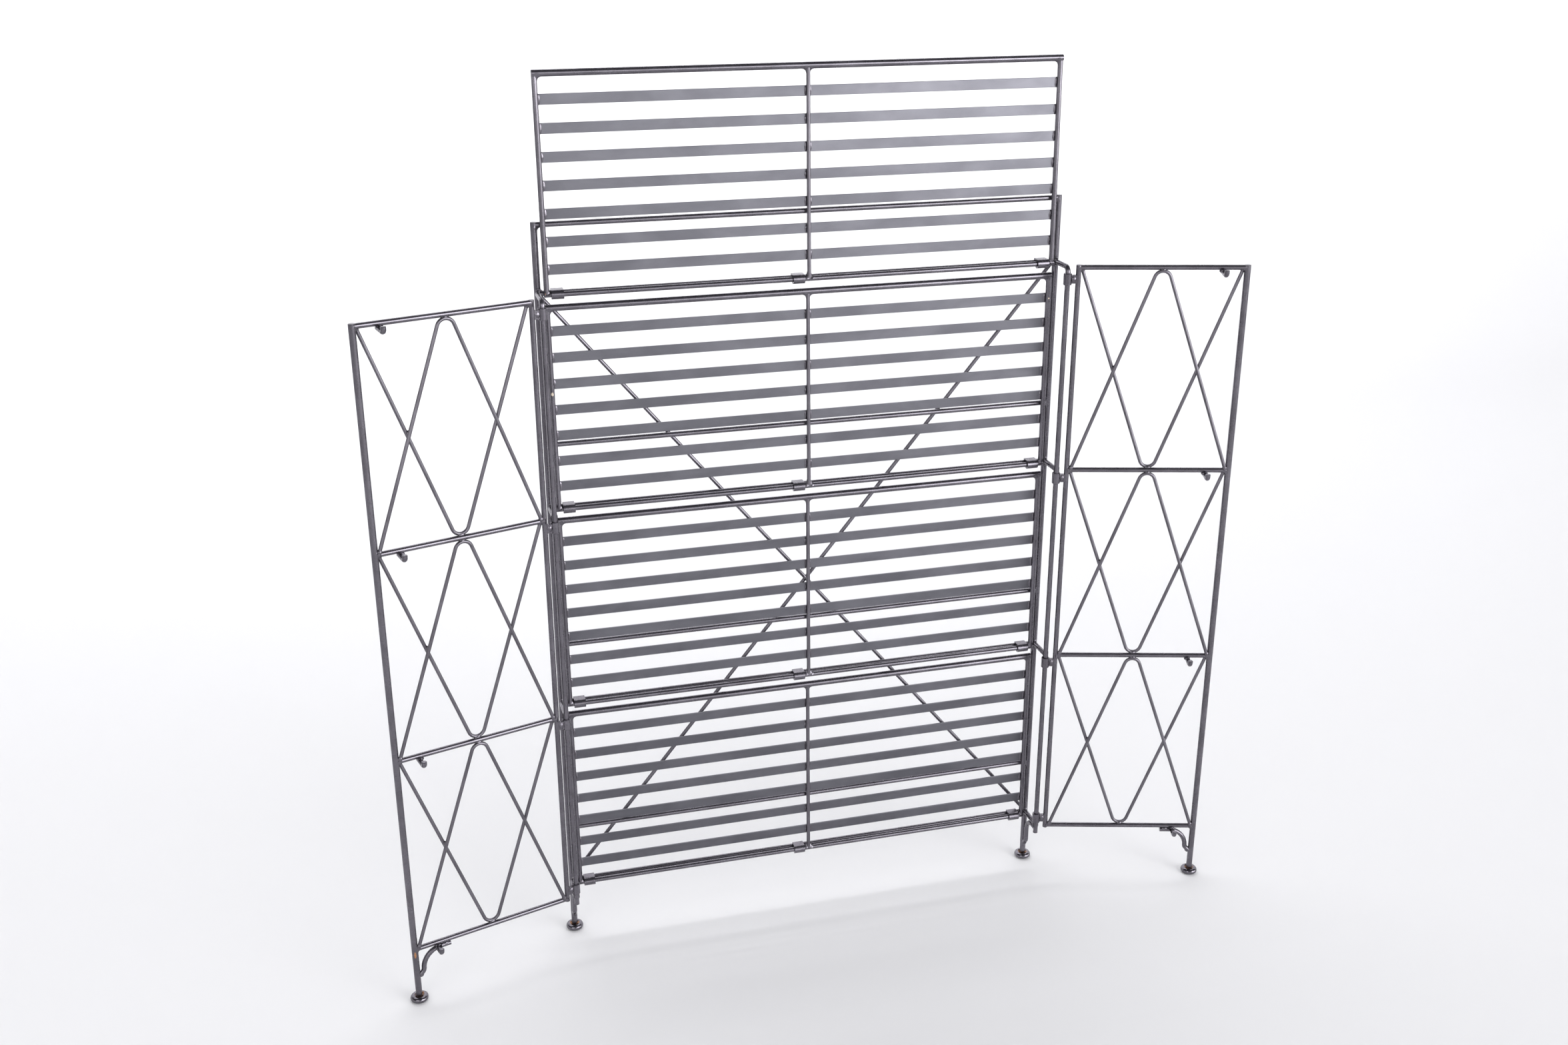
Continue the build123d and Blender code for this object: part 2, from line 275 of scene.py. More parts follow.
class WireLeg:
    """The straight leg of a wire in a bay of that height, from its foot to the bend at its point."""

    def __init__(self, place, bay):
        wires = settings().wires
        self.half_span = (place.reach - place.inner) / 2 - POST - wires.foot_inset
        self.foot_height = ROD + wires.foot_inset
        rise = bay - self.foot_height - ROD - 0.7 * place.wire - wires.bend_radius
        slant = math.hypot(self.half_span, rise)
        self.lean = math.atan2(self.half_span, rise) - math.asin(wires.bend_radius / slant)


class Shelf:
    """One raised shelf's own directions: to the right, up along it, and towards its front."""

    def __init__(self, name):
        self.axis = joint_place(f"{name}_fold")
        front_rod = middle(f"{name}_front_rod") - self.axis
        front_rod[0] = 0
        self.depth = np.linalg.norm(front_rod)
        self.up = front_rod / self.depth
        self.front = np.cross(TO_THE_RIGHT, self.up) * -1
        self.front *= np.sign(self.front @ -TO_THE_BACK)
        self.half_width = half_width(f"{name}_side_rods", 0) - ROD
        slats = places_along(f"{name}_slats", self.front) - self.axis @ self.front
        self.slat_face = slats.max()
        self.slats = members(f"{name}_slats", self.up) - self.axis @ self.up

    def at(self, right, front, up):
        return self.axis + TO_THE_RIGHT * right + self.front * front + self.up * up


# ---- Surfaces ----

def ripple(angle, random, size):
    """A few low waves round a circle, with random heights and phases."""
    waves = np.zeros_like(angle)
    for count in (2, 3, 5):
        height = random.uniform(-1, 1)
        waves = waves + height * np.cos(count * angle + random.uniform(0, TURN)) / math.sqrt(count)
    return 1 + size * waves


def ring_faces(rows, columns):
    """Quads of a grid that closes on itself both ways."""
    row, column = np.meshgrid(np.arange(rows), np.arange(columns), indexing="ij")
    next_row, next_column = (row + 1) % rows, (column + 1) % columns
    quads = [row * columns + column, next_row * columns + column,
             next_row * columns + next_column, row * columns + next_column]
    return np.stack(quads, -1).reshape(-1, 4)


def capped_faces(rows, columns):
    """Quads of a grid that closes round its columns, and fans to a first and a last pole after its points."""
    row, column = np.meshgrid(np.arange(rows - 1), np.arange(columns), indexing="ij")
    turned = (column + 1) % columns
    quads = [row * columns + column, (row + 1) * columns + column,
             (row + 1) * columns + turned, row * columns + turned]
    around = np.arange(columns)
    beside = (around + 1) % columns
    first, last = rows * columns, rows * columns + 1
    low = np.stack([np.full(columns, first), around, beside], -1)
    end = (rows - 1) * columns
    high = np.stack([np.full(columns, last), end + beside, end + around], -1)
    return np.stack(quads, -1).reshape(-1, 4), np.concatenate([low, high])


def outward(points, quads, triangles):
    """The faces turned so that the closed surface holds a positive volume."""
    fans = np.concatenate([quads[:, [0, 1, 2]], quads[:, [0, 2, 3]], triangles])
    a, b, c = points[fans[:, 0]], points[fans[:, 1]], points[fans[:, 2]]
    if np.einsum("ij,ij->", a, np.cross(b, c)) < 0:
        return quads[:, ::-1], triangles[:, ::-1]
    return quads, triangles


def lump(centre, across, out, along, seed, rings=11, segments=18):
    """A drop of braze.

    An ellipsoid whose three half-axes are the vectors given. Its radius is multiplied by low waves
    round it, which fade towards both poles.
    """
    random = np.random.default_rng(seed)
    fall = np.linspace(0, math.pi, rings + 1)[1:-1, None]
    round_it = np.arange(segments)[None, :] * TURN / segments
    swell = 1 + (ripple(round_it, random, settings().joints.unevenness) - 1) * np.sin(fall)
    swell = swell * (1 + 0.5 * (ripple(2 * fall, random, settings().joints.unevenness) - 1) * np.sin(fall))
    shape = [swell * np.sin(fall) * np.cos(round_it), swell * np.sin(fall) * np.sin(round_it),
             swell * np.cos(fall)]
    axes = [np.asarray(across), np.asarray(out), np.asarray(along)]
    points = centre + sum(s[..., None] * a for s, a in zip(shape, axes))
    points = np.concatenate([points.reshape(-1, 3), [centre + axes[2], centre - axes[2]]])
    quads, triangles = capped_faces(rings - 1, segments)
    quads, triangles = outward(points, quads, triangles)
    return points, quads, triangles, random.uniform(0, 1)


def fillet(joint, run, along, radius, post, reaches, seed, steps=32, arc_steps=6):
    """Braze drawn into the corner round the end of a bar, where it meets a second bar crosswise.

    joint is where the axes meet, run the direction of the bar that ends, and along that of the bar that
    goes through. Round the ending bar's angle the section is a hollow quarter circle, tangent to both
    bars. Its size goes from the side reach to the two reaches given as the square of the cosine, and
    its foot lies on the second bar's cylinder, whose height falls off as the root of the squares.
    """
    random = np.random.default_rng(seed)
    side = settings().joints.side_reach
    across = np.cross(run, along)
    angle = np.arange(steps)[:, None] * TURN / steps
    cosine, sine = np.cos(angle), np.sin(angle)
    size = (side + (reaches[0] - side) * np.clip(cosine, 0, 1) ** 2
            + (reaches[1] - side) * np.clip(-cosine, 0, 1) ** 2)
    size = size * ripple(angle, random, settings().joints.unevenness)
    turn = np.linspace(0, math.pi / 2, arc_steps)[None, :]
    out = size * (1 - np.sin(turn))
    away = size * (1 - np.cos(turn))
    sunk = 0.5 * side
    out = np.concatenate([out, out[:, -1:] - sunk, out[:, -1:] - sunk, out[:, :1]], 1)
    away = np.concatenate([away, away[:, -1:], away[:, :1] - sunk, away[:, :1] - sunk], 1)
    distance = radius + out
    seat = np.sqrt(np.clip(post ** 2 - (distance * sine) ** 2, 0, None))
    proud = 0.05 * side
    points = (joint + (seat + away + proud)[..., None] * run
              + ((distance + proud) * cosine)[..., None] * along
              + ((distance + proud) * sine)[..., None] * across)
    quads = ring_faces(steps, out.shape[1])
    points = points.reshape(-1, 3)
    quads, triangles = outward(points, quads, np.empty((0, 3), int))
    return points, quads, triangles, random.uniform(0, 1)


def turned(centre, profile, segments, dents, seed):
    """A turned piece: a profile of (radius, height) carried round a vertical axis.

    Its surface is pushed in and out by waves round it whose phase drifts along the profile.
    """
    random = np.random.default_rng(seed)
    round_it = np.arange(segments)[None, :] * TURN / segments
    radius, height = profile[1:-1, 0][:, None], profile[1:-1, 1][:, None]
    along = np.linspace(0, TURN, len(radius))[:, None]
    push = np.zeros((len(radius), segments))
    for count in (3, 4, 7, 9):
        phase = random.uniform(0, TURN)
        push = push + np.cos(count * round_it + phase + random.uniform(-2, 2) * np.sin(along)) / count
    push = push * dents * np.clip(height / profile[:, 1].max(), 0, 1)
    points = np.stack([(radius + push) * np.cos(round_it), (radius + push) * np.sin(round_it),
                       height + 0.6 * push * np.clip(height / profile[:, 1].max(), 0, 1)], -1)
    poles = np.array([[0, 0, profile[0, 1]], [0, 0, profile[-1, 1]]])
    points = np.concatenate([points.reshape(-1, 3), poles]) + centre
    quads, triangles = capped_faces(len(radius), segments)
    quads, triangles = outward(points, quads, triangles)
    return points, quads, triangles, random.uniform(0, 1)


def foot_profile(radius, height):
    """(radius, height) from the middle of the underside round the rim and into the hollow on top.

    The underside is flat, the rim is part of a circle as high as the foot, and the hollow is one
    wave of a cosine deep.
    """
    feet = settings().feet
    round_radius = height / 2
    shoulder = radius - round_radius
    flat = radius * feet.flat_share
    rim_turn = np.linspace(-math.pi / 3, math.pi / 2, 22)
    under = np.linspace(0, flat, 8)
    dish = radius * feet.dish_share
    inwards = np.linspace(shoulder, 0, 24)[1:]
    depth = feet.dish_depth * 0.5 * (1 + np.cos(math.pi * np.clip(inwards / dish, 0, 1) ** 2))
    radii = np.concatenate([under, shoulder + round_radius * np.cos(rim_turn), inwards])
    heights = np.concatenate([np.zeros_like(under), round_radius * (1 + np.sin(rim_turn)), height - depth])
    return np.stack([radii, heights], -1)


def bun_foot(node):
    """A foot of the frame, turned again with hammer marks that fade towards its flat underside."""
    low, high = corners(node)
    centre = np.array([*((low + high) / 2)[:2], low[2]])
    dents = settings().feet.dents
    radius = (high[0] - low[0]) / 2 - dents
    return turned(centre, foot_profile(radius, high[2] - low[2] - 0.6 * dents), 64, dents, settings().seed)


def add_hollow(piece, node):
    """An attribute that is 1 on top of the foot near the post and falls to 0 at the crown of the rim."""
    low, high = corners(node)
    flat = np.empty(len(piece.data.vertices) * 3, np.float32)
    piece.data.vertices.foreach_get("co", flat)
    points = flat.reshape(-1, 3)
    centre = (low + high) / 2
    radius = (high[0] - low[0]) / 2
    from_post = np.hypot(points[:, 0] - centre[0], points[:, 1] - centre[1]) / radius
    hollow = np.clip((0.8 - from_post) / 0.35, 0, 1) * (points[:, 2] > centre[2])
    piece.data.attributes.new("hollow", "FLOAT", "POINT").data.foreach_set("value", hollow.astype(np.float32))


class Braze(list):
    """Closed surfaces in the order they are added. Each draws its random shape from its own seed."""

    def __init__(self, stride=1):
        self.stride = stride

    def seed(self):
        return settings().seed + len(self) * self.stride

    def add_lump(self, centre, across, out, along):
        self.append(lump(centre, across, out, along, self.seed()))

    def add_fillet(self, joint, run, along, radius, post, reaches):
        self.append(fillet(joint, run, along, radius, post, reaches, self.seed()))


def new_piece(name, parts, body, material):
    """One mesh from several closed surfaces. Each keeps its own random shade in an attribute."""
    points = np.concatenate([part[0] for part in parts])
    starts = np.cumsum([0] + [len(part[0]) for part in parts[:-1]])
    quads = np.concatenate([part[1] + start for part, start in zip(parts, starts)])
    triangles = np.concatenate([part[2] + start for part, start in zip(parts, starts)])
    shade = np.concatenate([np.full(len(part[0]), part[3]) for part in parts])
    mesh = bpy.data.meshes.new(name)
    mesh.vertices.add(len(points))
    mesh.vertices.foreach_set("co", points.astype(np.float32).ravel())
    mesh.loops.add(quads.size + triangles.size)
    mesh.loops.foreach_set("vertex_index", np.concatenate([quads.ravel(), triangles.ravel()]).astype(np.int32))
    mesh.polygons.add(len(quads) + len(triangles))
    sizes = np.concatenate([np.full(len(quads), 4), np.full(len(triangles), 3)])
    mesh.polygons.foreach_set("loop_start", (np.cumsum(sizes) - sizes).astype(np.int32))
    mesh.polygons.foreach_set("use_smooth", np.ones(len(sizes), bool))
    mesh.attributes.new("shade", "FLOAT", "POINT").data.foreach_set("value", shade.astype(np.float32))
    mesh.update(calc_edges=True)
    mesh.validate()
    mesh.materials.append(material)
    piece = bpy.data.objects.new(name, mesh)
    bpy.context.scene.collection.objects.link(piece)
    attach(piece, body)
    return piece


# ---- Shader parts ----

def shader_group(name, inputs, outputs):
    """An empty node group with named sockets: inputs are (type, name, default)."""
    tree = bpy.data.node_groups.new(name, "ShaderNodeTree")
    for kind, label, default in inputs:
        socket = tree.interface.new_socket(label, in_out="INPUT", socket_type=kind)
        if default is not None:
            socket.default_value = default
    for kind, label in outputs:
        tree.interface.new_socket(label, in_out="OUTPUT", socket_type=kind)
    return tree, tree.nodes.new("NodeGroupInput"), tree.nodes.new("NodeGroupOutput")


def noise(tree, vector, scale, detail=3.0, roughness=0.5, distortion=0.0):
    node = tree.nodes.new("ShaderNodeTexNoise")
    tree.links.new(vector, node.inputs["Vector"])
    node.inputs["Scale"].default_value = scale
    node.inputs["Detail"].default_value = detail
    node.inputs["Roughness"].default_value = roughness
    node.inputs["Distortion"].default_value = distortion
    return node.outputs["Fac"]


def maths(tree, operation, *values):
    node = tree.nodes.new("ShaderNodeMath")
    node.operation = operation
    for socket, value in zip(node.inputs, values):
        if isinstance(value, (int, float)):
            socket.default_value = value
        else:
            tree.links.new(value, socket)
    return node.outputs[0]


def vector_maths(tree, operation, *vectors):
    """The whole node, because its result is a Vector or a Value."""
    node = tree.nodes.new("ShaderNodeVectorMath")
    node.operation = operation
    for socket, vector in zip(node.inputs, vectors):
        tree.links.new(vector, socket)
    return node


def attribute(tree, name):
    node = tree.nodes.new("ShaderNodeAttribute")
    node.attribute_name = name
    return node.outputs["Fac"]


def remap(tree, value, low, high):
    """A smooth step of value, from 0 at low to 1 at high."""
    node = tree.nodes.new("ShaderNodeMapRange")
    node.interpolation_type = "SMOOTHSTEP"
    for label, given in (("Value", value), ("From Min", low), ("From Max", high)):
        if isinstance(given, (int, float)):
            node.inputs[label].default_value = given
        else:
            tree.links.new(given, node.inputs[label])
    return node.outputs["Result"]


def mixed(tree, share, first, second):
    """A colour between two, each a socket or a plain colour."""
    node = tree.nodes.new("ShaderNodeMix")
    node.data_type = "RGBA"
    tree.links.new(share, node.inputs["Factor"])
    for label, given in ((6, first), (7, second)):
        if isinstance(given, bpy.types.NodeSocket):
            tree.links.new(given, node.inputs[label])
        else:
            node.inputs[label].default_value = (*given, 1)
    return node.outputs[2]


def forged_grain_group():
    """Height of the drawn bar's surface: broad hammered waves, small dents and fine mill grain."""
    tree, given, result = shader_group(
        "forged_grain",
        [("NodeSocketVector", "Vector", None), ("NodeSocketFloat", "Waves", 1.0),
         ("NodeSocketFloat", "Dents", 1.0), ("NodeSocketFloat", "Grain", 1.0)],
        [("NodeSocketFloat", "Height")])
    place = given.outputs["Vector"]
    waves = maths(tree, "MULTIPLY", noise(tree, place, 55.0, 2.0), given.outputs["Waves"])
    dents = maths(tree, "MULTIPLY", noise(tree, place, 260.0, 3.0, 0.55), given.outputs["Dents"])
    grain = maths(tree, "MULTIPLY", noise(tree, place, 1500.0, 3.0, 0.6), given.outputs["Grain"])
    small = maths(tree, "MULTIPLY_ADD", grain, 0.12, maths(tree, "MULTIPLY", dents, 0.4))
    tree.links.new(maths(tree, "ADD", waves, small), result.inputs["Height"])
    return tree


def patina_group():
    """How thin the finish is rubbed: clouds, longer smears and fine speckle, from 0 thick to 1 thin."""
    tree, given, result = shader_group(
        "rubbed_patina",
        [("NodeSocketVector", "Vector", None), ("NodeSocketVector", "Smear", (1.0, 1.0, 1.0)),
         ("NodeSocketFloat", "Speckle", 0.3)],
        [("NodeSocketFloat", "Thin"), ("NodeSocketFloat", "Roughen")])
    place = given.outputs["Vector"]
    smear = vector_maths(tree, "MULTIPLY", place, given.outputs["Smear"])
    clouds = noise(tree, smear.outputs["Vector"], 22.0, 4.0, 0.55, 0.4)
    speckle = noise(tree, place, 500.0, 3.0, 0.6)
    fine = maths(tree, "MULTIPLY", maths(tree, "SUBTRACT", speckle, 0.5), given.outputs["Speckle"])
    thin = remap(tree, maths(tree, "ADD", clouds, fine), 0.25, 0.78)
    tree.links.new(thin, result.inputs["Thin"])
    roughen = maths(tree, "MULTIPLY_ADD", noise(tree, place, 60.0, 4.0, 0.6), 0.16, -0.08)
    tree.links.new(roughen, result.inputs["Roughen"])
    return tree


def near_joints_group():
    """1 at the heights of the rails, fading away from them, and broken up into flecks."""
    tree, given, result = shader_group(
        "near_joints",
        [("NodeSocketVector", "Vector", None), ("NodeSocketFloat", "First", 0.1),
         ("NodeSocketFloat", "Pitch", 0.3), ("NodeSocketFloat", "Reach", 0.02),
         ("NodeSocketFloat", "Amount", 0.5)],
        [("NodeSocketFloat", "Mask")])
    parts = tree.nodes.new("ShaderNodeSeparateXYZ")
    tree.links.new(given.outputs["Vector"], parts.inputs["Vector"])
    above = maths(tree, "SUBTRACT", parts.outputs["Z"], given.outputs["First"])
    share = maths(tree, "PINGPONG", above, maths(tree, "MULTIPLY", given.outputs["Pitch"], 0.5))
    near = maths(tree, "SUBTRACT", 1.0, maths(tree, "DIVIDE", share, given.outputs["Reach"]))
    flecks = noise(tree, given.outputs["Vector"], 230.0, 4.0, 0.62, 0.3)
    level = maths(tree, "SUBTRACT", 0.82, maths(tree, "MULTIPLY", given.outputs["Amount"], 0.22))
    broken = remap(tree, flecks, level, maths(tree, "ADD", level, 0.05))
    mask = maths(tree, "MULTIPLY", maths(tree, "MAXIMUM", near, 0.0), broken)
    tree.links.new(maths(tree, "MINIMUM", maths(tree, "MULTIPLY", mask, 2.0), 1.0), result.inputs["Mask"])
    return tree


def fleck_group():
    """1 inside a small ragged patch round a place."""
    tree, given, result = shader_group(
        "single_fleck",
        [("NodeSocketVector", "Vector", None), ("NodeSocketVector", "Place", (0, 0, 0)),
         ("NodeSocketVector", "Size", (0.01, 0.01, 0.01))],
        [("NodeSocketFloat", "Mask")])
    away = vector_maths(tree, "SUBTRACT", given.outputs["Vector"], given.outputs["Place"])
    scaled = vector_maths(tree, "DIVIDE", away.outputs["Vector"], given.outputs["Size"])
    distance = vector_maths(tree, "LENGTH", scaled.outputs["Vector"])
    ragged = maths(tree, "MULTIPLY_ADD", noise(tree, given.outputs["Vector"], 420.0, 4.0, 0.65), 1.1, -0.55)
    edge = maths(tree, "ADD", distance.outputs["Value"], ragged)
    tree.links.new(remap(tree, edge, 1.1, 0.5), result.inputs["Mask"])
    return tree


def group_named(name):
    """A shader group, made when it is first asked for."""
    makers = {"forged_grain": forged_grain_group, "rubbed_patina": patina_group,
              "near_joints": near_joints_group, "single_fleck": fleck_group}
    return bpy.data.node_groups.get(name) or makers[name]()


def use_group(tree, name, vector, **values):
    """A shader group placed in a tree, with its plain inputs set."""
    node = tree.nodes.new("ShaderNodeGroup")
    node.node_tree = group_named(name)
    tree.links.new(vector, node.inputs["Vector"])
    for label, value in values.items():
        node.inputs[label].default_value = value
    return node


# ---- Finishes ----

def new_finish(name):
    material = bpy.data.materials.new(name)
    material.use_nodes = True
    tree = material.node_tree
    shader = next(n for n in tree.nodes if n.type == "BSDF_PRINCIPLED")
    place = tree.nodes.new("ShaderNodeTexCoord").outputs["Object"]
    return material, tree, shader, place


def add_relief(tree, shader, place, waves, dents, strength, distance):
    """The forged grain as the shader's normal."""
    grain = use_group(tree, "forged_grain", place, Waves=waves, Dents=dents)
    bump = tree.nodes.new("ShaderNodeBump")
    bump.inputs["Strength"].default_value = strength
    bump.inputs["Distance"].default_value = distance
    tree.links.new(grain.outputs["Height"], bump.inputs["Height"])
    tree.links.new(bump.outputs["Normal"], shader.inputs["Normal"])


def iron(name, dark, pale, smear=(1, 1, 1), speckle=0.3, waves=1.0, dents=1.0, rust=0.5, flecks=(),
         shade=None, rough=0.0, relief=0.035):
    """Dark iron, rubbed thin in clouds, with thin rust and bare braze in flecks near the joints.

    flecks are (colour, place, size). shade is an attribute that darkens whole drops of braze. rough is added
    to the finish's roughness.
    """
    finish = settings().finish
    material, tree, shader, place = new_finish(name)
    patina = use_group(tree, "rubbed_patina", place, Smear=smear, Speckle=speckle)
    colour = mixed(tree, patina.outputs["Thin"], dark, pale)
    near = use_group(tree, "near_joints", place, First=LEVELS[0], Pitch=LEVELS[1] - LEVELS[0], Reach=0.022,
                     Amount=rust)
    if shade:
        darker = maths(tree, "MULTIPLY", attribute(tree, shade), 0.5)
        colour = mixed(tree, darker, colour, dark)
    stain = noise(tree, place, 120.0, 4.0, 0.6)
    warm = mixed(tree, remap(tree, stain, 0.4, 0.7), finish.rust, finish.bronze)
    colour = mixed(tree, near.outputs["Mask"], colour, warm)
    metal = maths(tree, "SUBTRACT", 1.0, maths(tree, "MULTIPLY", near.outputs["Mask"], 0.5))
    for fleck_colour, fleck_place, size in flecks:
        fleck = use_group(tree, "single_fleck", place, Place=fleck_place, Size=size)
        colour = mixed(tree, fleck.outputs["Mask"], colour, fleck_colour)
        metal = maths(tree, "SUBTRACT", metal, maths(tree, "MULTIPLY", fleck.outputs["Mask"], 0.4))
    tree.links.new(colour, shader.inputs["Base Color"])
    tree.links.new(metal, shader.inputs["Metallic"])
    rough_here = maths(tree, "ADD", patina.outputs["Roughen"], finish.roughness + rough)
    tree.links.new(rough_here, shader.inputs["Roughness"])
    add_relief(tree, shader, place, waves, dents, relief, 0.0005)
    return material


def rods_finish(name="rubbed_iron_rods", **more):
    finish = settings().finish
    return iron(name, finish.dark, finish.pale, speckle=0.12, rust=0.0, **more)


def wires_finish():
    return rods_finish("rubbed_iron_wires", rough=0.08)


def slats_finish():
    finish = settings().finish
    return iron("stained_iron_slats", finish.slat_dark, finish.slat_pale, smear=(0.5, 1, 1), speckle=0.08,
                waves=0.4, dents=0.3, rust=0.0, rough=0.12, relief=0.05)


def fittings_finish():
    finish = settings().finish
    return iron("worn_iron_hinge_fittings", finish.dark, finish.pale, dents=1.4, rust=0.35, relief=0.3)


def braze_finish():
    finish = settings().finish
    return iron("finished_over_braze", finish.dark, finish.pale, dents=1.6, rust=0.55, shade="shade",
                relief=0.4)


def left_front_post_finish():
    """The same finish as the rods', with a bare patch rubbed at the lowest rail."""
    patch = middle("left_front_post")
    patch[1] -= POST
    patch[2] = LEVELS[0] - 2 * ROD
    return rods_finish("rubbed_iron_left_front_post",
                       flecks=[(settings().finish.bronze, patch, (0.0022, 0.006, 0.0065))])


def chipped_rods_finish():
    """The same finish as the rods', with a pale chip on the left rod and a smaller one on the right."""
    chalk = settings().finish.chalk
    shelf = Shelf("shelf_3")
    left = shelf.at(-shelf.half_width, ROD, 0.585 * shelf.depth)
    right = shelf.at(shelf.half_width, ROD, 0.885 * shelf.depth)
    return rods_finish("rubbed_iron_chipped_rods",
                       flecks=[(chalk, left, (0.0024, 0.006, 0.0032)), (chalk, right, (0.0015, 0.006, 0.0015))])


def feet_finish():
    """Darker and smoother iron, rusty in the hollow of the foot and rubbed bright on its rim."""
    finish = settings().finish
    material, tree, shader, place = new_finish("turned_iron_feet")
    patina = use_group(tree, "rubbed_patina", place, Speckle=0.5)
    colour = mixed(tree, patina.outputs["Thin"], finish.dark, finish.pale)
    ragged = noise(tree, place, 150.0, 4.0, 0.6)
    broken = maths(tree, "ADD", attribute(tree, "hollow"), maths(tree, "MULTIPLY", ragged, 0.9))
    rusty = remap(tree, broken, 1.0, 1.5)
    warm = mixed(tree, remap(tree, ragged, 0.45, 0.65), finish.rust, finish.bronze)
    colour = mixed(tree, rusty, colour, warm)
    tree.links.new(colour, shader.inputs["Base Color"])
    tree.links.new(maths(tree, "SUBTRACT", 1.0, maths(tree, "MULTIPLY", rusty, 0.4)), shader.inputs["Metallic"])
    rough_here = maths(tree, "ADD", patina.outputs["Roughen"], finish.roughness - 0.14)
    tree.links.new(rough_here, shader.inputs["Roughness"])
    add_relief(tree, shader, place, 1.5, 1.4, 0.4, 0.0006)
    return material


FINISHES = {"rods": rods_finish, "wires": wires_finish, "slats": slats_finish,
            "hinge_fittings": fittings_finish, "feet": feet_finish, "braze": braze_finish}
MADE_FINISHES = {}


def finish_for(slot):
    """The finish of a material slot, made once."""
    if slot not in MADE_FINISHES:
        MADE_FINISHES[slot] = FINISHES[slot]()
    return MADE_FINISHES[slot]


# ---- Joints of each body ----

def back_frame_joints():
    """Braze of the back frame: rails, gallery rails, arms and hinge rods at the posts."""
    joints = settings().joints
    corner, light = joints.corner_reach, joints.light_reach
    parts = Braze()
    for sign in (-1, 1):
        inwards = -sign * TO_THE_RIGHT
        for level in LEVELS:
            post = np.array([sign * POST_X, BACK, level])
            parts.add_fillet(post, inwards, UP, ROD, POST, (light, light))
            parts.add_fillet(post, -TO_THE_BACK, UP, ROD, POST, (light, light))
            gallery = post + UP * GALLERY_RISE
            top = level == LEVELS[-1]
            parts.add_fillet(gallery, inwards, UP, ROD, POST, (0 if top else light, corner))
            if not top:
                hinge = np.array([sign * POST_X, HINGE_Y, level])
                parts.add_fillet(hinge, TO_THE_BACK, UP, ROD, ROD, (light, light))
    return parts


def brace_joints():
    """Braze at the four ends of the braces and where they cross."""
    low, high = corners("long_cross_brace")
    plane = (low[1] + high[1]) / 2
    radius = (high[1] - low[1]) / 2
    run = np.array([high[0], 0, (high[2] - low[2]) / 2])
    run = run / np.linalg.norm(run)
    centre = np.array([0, plane, (LEVELS[0] + LEVELS[-1]) / 2])
    parts = Braze()
    for number, sign in enumerate((-1, 1)):
        leg = np.array([sign * run[0], 0, run[2]])
        parts.append(lump(centre, leg * 2.4 * radius, TO_THE_BACK * 1.25 * radius,
                          np.cross(leg, TO_THE_BACK) * 1.2 * radius, settings().seed + number))
        for end in (LEVELS[0], LEVELS[-1]):
            leg = run * [sign * (1 if end == LEVELS[-1] else -1), 1, 1]
            place = np.array([sign * (POST_X - radius), (plane + BACK + POST) / 2, end])
            parts.add_lump(place, leg * 2 * radius, TO_THE_BACK * radius,
                           np.cross(leg, TO_THE_BACK) * 1.3 * radius)
    return parts


def knuckle_joints(number):
    """A bead along each knuckle's tang, where it lies on the back rail."""
    node = f"shelf_knuckles_{number}"
    high = corners(node)[1]
    centres = members(node, TO_THE_RIGHT)
    length = high[0] - centres.max()
    parts = Braze()
    for x in centres:
        place = np.array([x, high[1] + 0.1 * ROD, LEVELS[number - 1] + 0.97 * ROD])
        parts.add_lump(place, TO_THE_BACK * 0.45 * ROD, UP * 0.42 * ROD, TO_THE_RIGHT * length)
    return parts


def side_frame_joints(side):
    """Braze at both ends of a side frame's rails."""
    light = settings().joints.light_reach
    place = SideFrame(side)
    parts = Braze(3)
    for level in LEVELS:
        above = 0 if level == LEVELS[-1] else light
        below = 0 if level == LEVELS[0] else light
        parts.add_fillet(place.at(place.reach, 0, level), -place.along, UP, ROD, POST, (above, light))
        parts.add_fillet(place.at(place.inner, 0, level), place.along, UP, ROD, ROD, (above, below))
    return parts


def wire_joints(side):
    """Braze at the feet, the points and the crossings of the arch wires and vee wires."""
    place = SideFrame(side)
    wire = place.wire
    centre = (place.inner + place.reach) / 2
    parts = Braze(3)
    for low, high in zip(LEVELS, LEVELS[1:]):
        half_way = (low + high) / 2
        leg = WireLeg(place, high - low)
        for plane, foot, crown in ((-wire, low, high), (wire, high, low)):
            up = np.sign(crown - foot)
            for sign in (-1, 1):
                run = place.along * -sign * math.sin(leg.lean) + UP * up * math.cos(leg.lean)
                start = place.at(centre + sign * leg.half_span, plane, foot + up * leg.foot_height)
                parts.add_lump(start - run * 0.7 * wire, run * 1.9 * wire, place.back * 1.2 * wire,
                               np.cross(run, place.back) * 1.35 * wire)
            point = place.at(centre, 0.6 * plane, crown - up * (ROD - 0.1 * wire))
            parts.add_lump(point, UP * 1.05 * wire, place.back * 1.1 * wire, place.along * 2.0 * wire)
        for sign in (-1, 1):
            across = leg.half_span - (half_way - low - leg.foot_height) * math.tan(leg.lean)
            crossing = place.at(centre + sign * across, 0, half_way + 1.5 * wire)
            parts.add_lump(crossing, place.along * 0.95 * wire, place.back * 1.2 * wire, UP * 1.7 * wire)
    return parts


